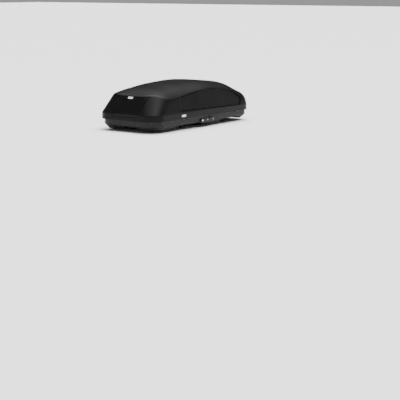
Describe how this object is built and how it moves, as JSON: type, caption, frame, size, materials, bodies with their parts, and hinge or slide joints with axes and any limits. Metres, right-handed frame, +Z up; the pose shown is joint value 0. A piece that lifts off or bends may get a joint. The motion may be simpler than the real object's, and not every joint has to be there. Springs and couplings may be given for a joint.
{
  "type": "roof cargo box",
  "caption": "Car roof cargo box with a dual-side-opening lid on lifter arms, slide locks and quick clamps for wing crossbars.",
  "frame": {"origin": "centre of the plan, at the level of the clamp jaws' lowest points", "axes": "+X towards the front of the car, +Y to the left, +Z up"},
  "size_m": [1.7654, 0.8022, 0.4809],
  "materials": {
    "lid_plastic": "thermoformed ABS with a satin, finely grained skin",
    "base_plastic": "thermoformed ABS, satin, grained",
    "trim_black": "moulded black plastic, semi-gloss",
    "badge": "pale blank plate, satin",
    "rubber": "EPDM rubber",
    "aluminium": "extruded, mill finish",
    "steel": "zinc-plated pressed steel",
    "screws": "zinc-plated steel",
    "chrome": "plated die casting",
    "grey_plastic": "moulded grey plastic",
    "webbing": "woven polyester webbing"
  },
  "bodies": {
    "base": {"arm_brackets": "steel", "arm_pins": "screws", "arm_springs": "screws", "base_rail_left": "aluminium", "base_rail_right": "aluminium", "base_shell": "base_plastic", "catch_saddles_left": "steel", "catch_saddles_right": "steel", "clamp_guides": "steel", "guide_screws": "screws", "load_straps": "webbing", "lock_indicators": "grey_plastic", "lock_module_left": "base_plastic", "lock_module_right": "base_plastic", "rail_screws": "screws", "rim_seal": "rubber", "strap_anchors": "steel", "strap_buckles": "trim_black"},
    "lid": {"lid_shell": "lid_plastic", "lid_tail_panel": "trim_black", "lid_bows": "steel", "badge_tail": "badge", "badge_right": "badge", "badge_left": "badge", "lid_edge_rails": "aluminium", "lid_brackets": "steel", "lid_pins": "screws"},
    "arms_left": {"lifter_arm_left_rear": "steel", "lifter_arm_left_front": "steel"},
    "arms_right": {"lifter_arm_right_rear": "steel", "lifter_arm_right_front": "steel"},
    "lock_rail_right": {"lock_rail_right": "steel"},
    "lock_button_right": {"lock_button_right": "grey_plastic"},
    "key_cylinder_right": {"key_cylinder_right": "chrome"},
    "lock_rail_left": {"lock_rail_left": "steel"},
    "lock_button_left": {"lock_button_left": "grey_plastic"},
    "key_cylinder_left": {"key_cylinder_left": "chrome"},
    "clamp_rear_right": {"clamp_rear_right_housing": "trim_black", "clamp_rear_right_pad": "rubber"},
    "knob_rear_right": {"clamp_rear_right_knob": "grey_plastic"},
    "jaw_rear_right_front": {"clamp_rear_right_jaw_front": "steel"},
    "jaw_rear_right_rear": {"clamp_rear_right_jaw_rear": "steel"},
    "clamp_rear_left": {"clamp_rear_left_housing": "trim_black", "clamp_rear_left_pad": "rubber"},
    "knob_rear_left": {"clamp_rear_left_knob": "grey_plastic"},
    "jaw_rear_left_front": {"clamp_rear_left_jaw_front": "steel"},
    "jaw_rear_left_rear": {"clamp_rear_left_jaw_rear": "steel"},
    "clamp_front_right": {"clamp_front_right_housing": "trim_black", "clamp_front_right_pad": "rubber"},
    "knob_front_right": {"clamp_front_right_knob": "grey_plastic"},
    "jaw_front_right_front": {"clamp_front_right_jaw_front": "steel"},
    "jaw_front_right_rear": {"clamp_front_right_jaw_rear": "steel"},
    "clamp_front_left": {"clamp_front_left_housing": "trim_black", "clamp_front_left_pad": "rubber"},
    "knob_front_left": {"clamp_front_left_knob": "grey_plastic"},
    "jaw_front_left_front": {"clamp_front_left_jaw_front": "steel"},
    "jaw_front_left_rear": {"clamp_front_left_jaw_rear": "steel"}
  },
  "joints": [
    {"name": "lid_opens_right", "type": "hinge", "parent": "base", "child": "arms_left", "pos_m": [0, 0.37, 0.122], "axis": [-1, 0, 0], "range_deg": [0, 42]},
    {"name": "lid_opens_left", "type": "hinge", "parent": "arms_left", "child": "lid", "pos_m": [0, -0.37, 0.122], "axis": [1, 0, 0], "range_deg": [0, 42]},
    {"name": "arms_right_follow", "type": "hinge", "parent": "base", "child": "arms_right", "pos_m": [0, -0.37, 0.122], "axis": [1, 0, 0], "range_deg": [0, 42.01]},
    {"name": "lock_slide_right", "type": "slide", "parent": "base", "child": "lock_rail_right", "axis": [1, 0, 0], "range_m": [0, 0.018]},
    {"name": "button_slide_right", "type": "slide", "parent": "base", "child": "lock_button_right", "axis": [1, 0, 0], "range_m": [0, 0.01801]},
    {"name": "key_turn_right", "type": "hinge", "parent": "base", "child": "key_cylinder_right", "pos_m": [-0.054, -0.383, 0.074], "axis": [0, -1, 0], "range_deg": [0, 90]},
    {"name": "lock_slide_left", "type": "slide", "parent": "base", "child": "lock_rail_left", "axis": [1, 0, 0], "range_m": [0, 0.018]},
    {"name": "button_slide_left", "type": "slide", "parent": "base", "child": "lock_button_left", "axis": [1, 0, 0], "range_m": [0, 0.01801]},
    {"name": "key_turn_left", "type": "hinge", "parent": "base", "child": "key_cylinder_left", "pos_m": [-0.054, 0.383, 0.074], "axis": [0, 1, 0], "range_deg": [0, 90]},
    {"name": "clamp_slide_rear_right", "type": "slide", "parent": "base", "child": "clamp_rear_right", "axis": [1, 0, 0], "range_m": [-0.06, 0.06]},
    {"name": "knob_turn_rear_right", "type": "hinge", "parent": "clamp_rear_right", "child": "knob_rear_right", "pos_m": [-0.245, -0.205, 0.122], "axis": [0, 0, 1], "range_deg": [0, 1440]},
    {"name": "jaw_open_rear_right_front", "type": "hinge", "parent": "clamp_rear_right", "child": "jaw_rear_right_front", "pos_m": [-0.224, -0.205, 0.08], "axis": [0, -1, 0], "range_deg": [0, 26.01]},
    {"name": "jaw_open_rear_right_rear", "type": "hinge", "parent": "clamp_rear_right", "child": "jaw_rear_right_rear", "pos_m": [-0.266, -0.205, 0.08], "axis": [0, 1, 0], "range_deg": [0, 26.01]},
    {"name": "clamp_slide_rear_left", "type": "slide", "parent": "base", "child": "clamp_rear_left", "axis": [1, 0, 0], "range_m": [-0.06, 0.06]},
    {"name": "knob_turn_rear_left", "type": "hinge", "parent": "clamp_rear_left", "child": "knob_rear_left", "pos_m": [-0.245, 0.205, 0.122], "axis": [0, 0, 1], "range_deg": [0, 1440]},
    {"name": "jaw_open_rear_left_front", "type": "hinge", "parent": "clamp_rear_left", "child": "jaw_rear_left_front", "pos_m": [-0.224, 0.205, 0.08], "axis": [0, -1, 0], "range_deg": [0, 26.01]},
    {"name": "jaw_open_rear_left_rear", "type": "hinge", "parent": "clamp_rear_left", "child": "jaw_rear_left_rear", "pos_m": [-0.266, 0.205, 0.08], "axis": [0, 1, 0], "range_deg": [0, 26.01]},
    {"name": "clamp_slide_front_right", "type": "slide", "parent": "base", "child": "clamp_front_right", "axis": [1, 0, 0], "range_m": [-0.06, 0.06]},
    {"name": "knob_turn_front_right", "type": "hinge", "parent": "clamp_front_right", "child": "knob_front_right", "pos_m": [0.5, -0.205, 0.122], "axis": [0, 0, 1], "range_deg": [0, 1440]},
    {"name": "jaw_open_front_right_front", "type": "hinge", "parent": "clamp_front_right", "child": "jaw_front_right_front", "pos_m": [0.521, -0.205, 0.08], "axis": [0, -1, 0], "range_deg": [0, 26.01]},
    {"name": "jaw_open_front_right_rear", "type": "hinge", "parent": "clamp_front_right", "child": "jaw_front_right_rear", "pos_m": [0.479, -0.205, 0.08], "axis": [0, 1, 0], "range_deg": [0, 26.01]},
    {"name": "clamp_slide_front_left", "type": "slide", "parent": "base", "child": "clamp_front_left", "axis": [1, 0, 0], "range_m": [-0.06, 0.06]},
    {"name": "knob_turn_front_left", "type": "hinge", "parent": "clamp_front_left", "child": "knob_front_left", "pos_m": [0.5, 0.205, 0.122], "axis": [0, 0, 1], "range_deg": [0, 1440]},
    {"name": "jaw_open_front_left_front", "type": "hinge", "parent": "clamp_front_left", "child": "jaw_front_left_front", "pos_m": [0.521, 0.205, 0.08], "axis": [0, -1, 0], "range_deg": [0, 26.01]},
    {"name": "jaw_open_front_left_rear", "type": "hinge", "parent": "clamp_front_left", "child": "jaw_front_left_rear", "pos_m": [0.479, 0.205, 0.08], "axis": [0, 1, 0], "range_deg": [0, 26.01]}
  ],
  "couplings": [
    {"joint": "arms_right_follow", "follows": "lid_opens_left", "ratio": 1},
    {"joint": "button_slide_right", "follows": "lock_slide_right", "ratio": 1},
    {"joint": "button_slide_left", "follows": "lock_slide_left", "ratio": 1},
    {"joint": "jaw_open_rear_right_front", "follows": "knob_turn_rear_right", "ratio": 0.018056},
    {"joint": "jaw_open_rear_right_rear", "follows": "knob_turn_rear_right", "ratio": 0.018056},
    {"joint": "jaw_open_rear_left_front", "follows": "knob_turn_rear_left", "ratio": 0.018056},
    {"joint": "jaw_open_rear_left_rear", "follows": "knob_turn_rear_left", "ratio": 0.018056},
    {"joint": "jaw_open_front_right_front", "follows": "knob_turn_front_right", "ratio": 0.018056},
    {"joint": "jaw_open_front_right_rear", "follows": "knob_turn_front_right", "ratio": 0.018056},
    {"joint": "jaw_open_front_left_front", "follows": "knob_turn_front_left", "ratio": 0.018056},
    {"joint": "jaw_open_front_left_rear", "follows": "knob_turn_front_left", "ratio": 0.018056}
  ]
}
